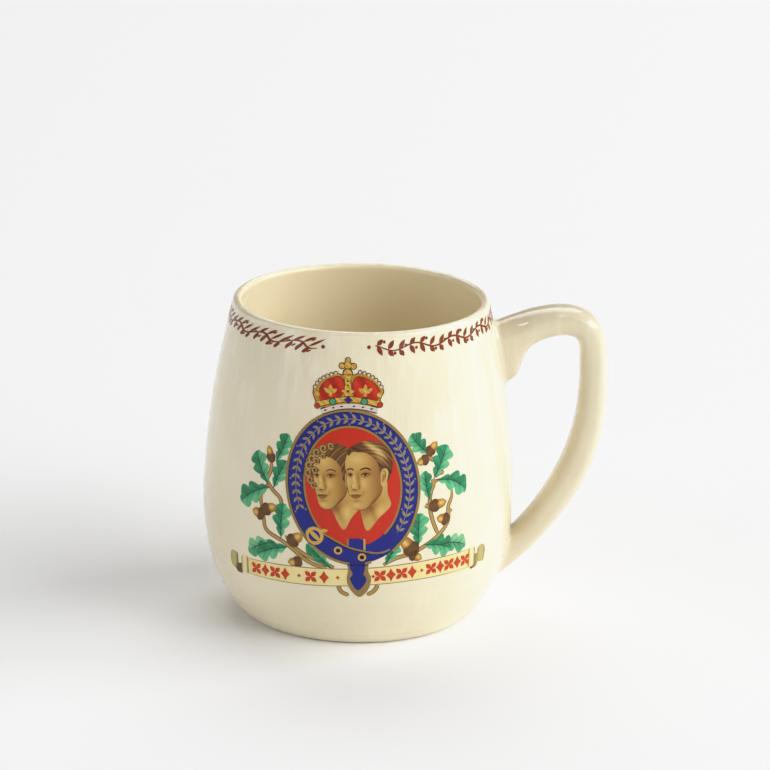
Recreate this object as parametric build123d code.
"""Glazed earthenware mug with a loop handle, a printed crest and a printed rim border.

Millimetres, +Z up. The origin is the centre of the foot ring, on the plane it stands on.
The handle points along +X and the printed crest faces -Y, turned a few degrees to -X.
"""

import os

from build123d import *

# ---- cup ----------------------------------------------------------------------------
HEIGHT = 86.0  # foot ring to the top of the lip
FOOT_RADIUS = 31.3  # outside wall where it meets the standing plane
RECESS_RADIUS = 27.4  # hollow underside inside the foot ring
RECESS_DEPTH = 2.0
RECESS_EDGE = 0.7  # rounding of the ring's inner edge
FLOOR_TOP = 5.4  # inside floor above the standing plane
LIP_RADIUS = 1.15  # the lip is a half round of this radius
LIP_OUTSIDE = (34.0, HEIGHT - LIP_RADIUS)
LIP_INSIDE = (LIP_OUTSIDE[0] - 2 * LIP_RADIUS, HEIGHT - LIP_RADIUS)

# outside wall as (radius, height), from just over the foot to under the lip
OUTSIDE = [
    (33.6, 2.5),
    (36.3, 7.0),
    (39.0, 13.0),
    (40.7, 20.0),
    (41.6, 29.0),
    (41.3, 40.0),
    (40.2, 52.0),
    (38.3, 65.0),
    (36.05, 76.0),
]

# inside wall as (radius, height), from under the lip to the flat of the floor
INSIDE = [
    (33.6, 76.0),
    (35.6, 65.0),
    (37.2, 52.0),
    (38.0, 40.0),
    (38.0, 29.0),
    (36.6, 20.0),
    (34.0, 13.0),
    (30.2, 7.9),
    (24.0, FLOOR_TOP),
]

# ---- handle -------------------------------------------------------------------------
HANDLE_WIDTH = 11.0  # across the handle, along Y
HANDLE_EDGE = 3.3  # rounding of the handle's long edges
SLIP = 0.4  # thickness of the slip that sticks the handle to the wall

# outer outline as (distance from the axis, height), from the upper end to the lower
BACK = [
    (31.0, 77.2),
    (38.3, 80.3),
    (44.6, 82.5),
    (50.7, 83.7),
    (56.8, 83.5),
    (61.7, 81.4),
    (64.6, 77.2),
    (65.9, 69.0),
    (66.1, 60.0),
    (65.2, 51.0),
    (63.2, 42.5),
    (59.8, 34.3),
    (54.1, 25.4),
    (46.6, 16.4),
    (40.4, 10.6),
    (34.0, 6.0),
]

# where the top and the side of the finger hole would meet if the corner were sharp
HOLE_CORNER = (58.1, 76.5)
HOLE_CORNER_RADIUS = 3.4

# underside of the upper arm, with the tab that runs down the wall
UNDER_ARM = [
    (35.0, 57.0),
    (39.0, 61.6),
    (41.8, 66.6),
    (44.1, 71.5),
    (46.6, 74.0),
    (50.4, 75.6),
    (54.2, 76.3),
    HOLE_CORNER,
]

# side of the finger hole, from its top corner down to the wall
HOLE_SIDE = [
    HOLE_CORNER,
    (58.4, 70.0),
    (58.6, 63.6),
    (57.9, 54.6),
    (55.8, 45.6),
    (52.2, 36.4),
    (46.6, 27.4),
    (41.6, 21.6),
    (36.0, 16.6),
]

# ---- prints -------------------------------------------------------------------------
FILM = 0.12  # thickness of a fired print with the glaze over it

BORDER_LOW = 79.7
BORDER_HIGH = 84.4
GAP_MIDDLE = -98.0  # plain gap over the crest, in degrees about +Z from +X
GAP_HALF_ANGLE = 9.4

CREST_TURN = -4.1  # degrees from -Y towards -X
CREST_LEAN = 3.5  # degrees that the crest's top leans to the left
BAND_CENTRE = 46.3  # height of the middle of the oval band
BAND_HALF_WIDTH = 17.4
BAND_HALF_HEIGHT = 20.6
CROWN_HALF_WIDTH = 8.6
CROWN_TOP = 78.6
SPRAY_OUT = 21.5  # from the crest's middle to the middle of each oak spray
SPRAY_CENTRE = 41.0
SPRAY_HALF_WIDTH = 10.0
SPRAY_HALF_HEIGHT = 19.0
RIBBON_HALF_LENGTH = 33.5
RIBBON_LOW = 18.0
RIBBON_HIGH = 25.8

REACH = 60.0  # longer than any radius of the mug, for cutting shapes


def inside_of_outer_wall(extra=0.0):
    """Solid bounded by the outside wall, moved outwards by extra."""
    foot = (FOOT_RADIUS + extra, 0)
    lip = (LIP_OUTSIDE[0] + extra, LIP_OUTSIDE[1])
    wall = [(radius + extra, height) for radius, height in OUTSIDE]
    with BuildPart() as solid:
        with BuildSketch(Plane.XZ):
            with BuildLine():
                Polyline(lip, (0, LIP_OUTSIDE[1]), (0, 0), foot)
                Spline(foot, *wall, lip)
            make_face()
        revolve(axis=Axis.Z)
    return solid.part


def mug_body():
    """Cup with a rounded lip, a wall that thickens downwards and a foot ring."""
    lip_top = (LIP_OUTSIDE[0] - LIP_RADIUS, HEIGHT)
    with BuildPart() as solid:
        with BuildSketch(Plane.XZ):
            with BuildLine():
                Spline((FOOT_RADIUS, 0), *OUTSIDE, LIP_OUTSIDE)
                ThreePointArc(LIP_OUTSIDE, lip_top, LIP_INSIDE)
                Spline(LIP_INSIDE, *INSIDE, tangents=[(0, -1), (-1, 0)])
                Polyline(INSIDE[-1], (0, FLOOR_TOP), (0, 0), (FOOT_RADIUS, 0))
            make_face()
        revolve(axis=Axis.Z)
        with BuildSketch(Plane.XY):
            Circle(RECESS_RADIUS)
        extrude(amount=RECESS_DEPTH, mode=Mode.SUBTRACT)
        circles = solid.edges().filter_by(GeomType.CIRCLE)
        recess_edges = circles.filter_by(lambda edge: abs(edge.radius - RECESS_RADIUS) < 0.01)
        fillet(recess_edges, RECESS_EDGE)
    return solid.part


def handle_blank():
    """Handle as it leaves its mould, with ends that still reach into the wall."""
    with BuildPart() as solid:
        with BuildSketch(Plane.XZ):
            with BuildLine():
                Spline(*BACK)
                Line(BACK[-1], HOLE_SIDE[-1])
                Spline(*HOLE_SIDE)
                Spline(*UNDER_ARM)
                Line(UNDER_ARM[0], BACK[0])
            make_face()
        extrude(amount=HANDLE_WIDTH / 2, both=True)
        across = solid.edges().filter_by(Axis.Y)
        corner = across.sort_by_distance((HOLE_CORNER[0], 0, HOLE_CORNER[1]))[0]
        fillet(corner, HOLE_CORNER_RADIUS)
        side_edges = solid.faces().filter_by(Axis.Y).edges()
        fillet(side_edges - side_edges.filter_by(GeomType.LINE), HANDLE_EDGE)
    return solid.part


def crest_film():
    """One printed film: a crown over an oval band, oak sprays and a ribbon."""
    facing = Plane(origin=(0, 0, BAND_CENTRE), x_dir=(1, 0, 0), z_dir=(0, -1, 0))
    with BuildSketch(facing) as outline:
        Ellipse(BAND_HALF_WIDTH, BAND_HALF_HEIGHT)
        with Locations((0, (CROWN_TOP - BAND_CENTRE) / 2)):
            Rectangle(2 * CROWN_HALF_WIDTH, CROWN_TOP - BAND_CENTRE)
        with Locations(
            (-SPRAY_OUT, SPRAY_CENTRE - BAND_CENTRE),
            (SPRAY_OUT, SPRAY_CENTRE - BAND_CENTRE),
        ):
            Ellipse(SPRAY_HALF_WIDTH, SPRAY_HALF_HEIGHT)
        with Locations((0, (RIBBON_LOW + RIBBON_HIGH) / 2 - BAND_CENTRE)):
            Rectangle(2 * RIBBON_HALF_LENGTH, RIBBON_HIGH - RIBBON_LOW)
    leaning = outline.sketch.rotate(Axis((0, 0, BAND_CENTRE), (0, -1, 0)), CREST_LEAN)
    cutter = extrude(leaning.rotate(Axis.Z, CREST_TURN), amount=REACH)
    return (inside_of_outer_wall(FILM) - inside_of_outer_wall()) & cutter


def border_film():
    """Printed border under the lip, open over the crest and clear of the handle."""
    with BuildPart() as ring:
        with Locations((0, 0, (BORDER_LOW + BORDER_HIGH) / 2)):
            Cylinder(REACH, BORDER_HIGH - BORDER_LOW)
    with BuildPart() as gap:
        with BuildSketch(Plane.XY):
            with BuildLine():
                start = PolarLine((0, 0), 2 * REACH, GAP_MIDDLE - GAP_HALF_ANGLE)
                end = PolarLine((0, 0), 2 * REACH, GAP_MIDDLE + GAP_HALF_ANGLE)
                Line(start @ 1, end @ 1)
            make_face()
        extrude(amount=HEIGHT)
    film = inside_of_outer_wall(FILM) - inside_of_outer_wall()
    return (film & ring.part) - gap.part - handle_blank()


blank = handle_blank()
cup_filled = inside_of_outer_wall()
cup_with_slip = inside_of_outer_wall(SLIP)
slip_layers = ((blank & cup_with_slip) - cup_filled).solids().sort_by(Axis.Z)

pieces = {
    "mug_body": mug_body(),
    "handle": blank - cup_with_slip,
    "lower_slip_joint": slip_layers[0],
    "upper_slip_joint": slip_layers[-1],
    "crest_print": crest_film(),
    "rim_border_print": border_film(),
}

os.makedirs("parts", exist_ok=True)
for name, shape in pieces.items():
    export_step(shape, f"parts/{name}.step")
    print(name, round(shape.volume / 1000, 3), "cm3")
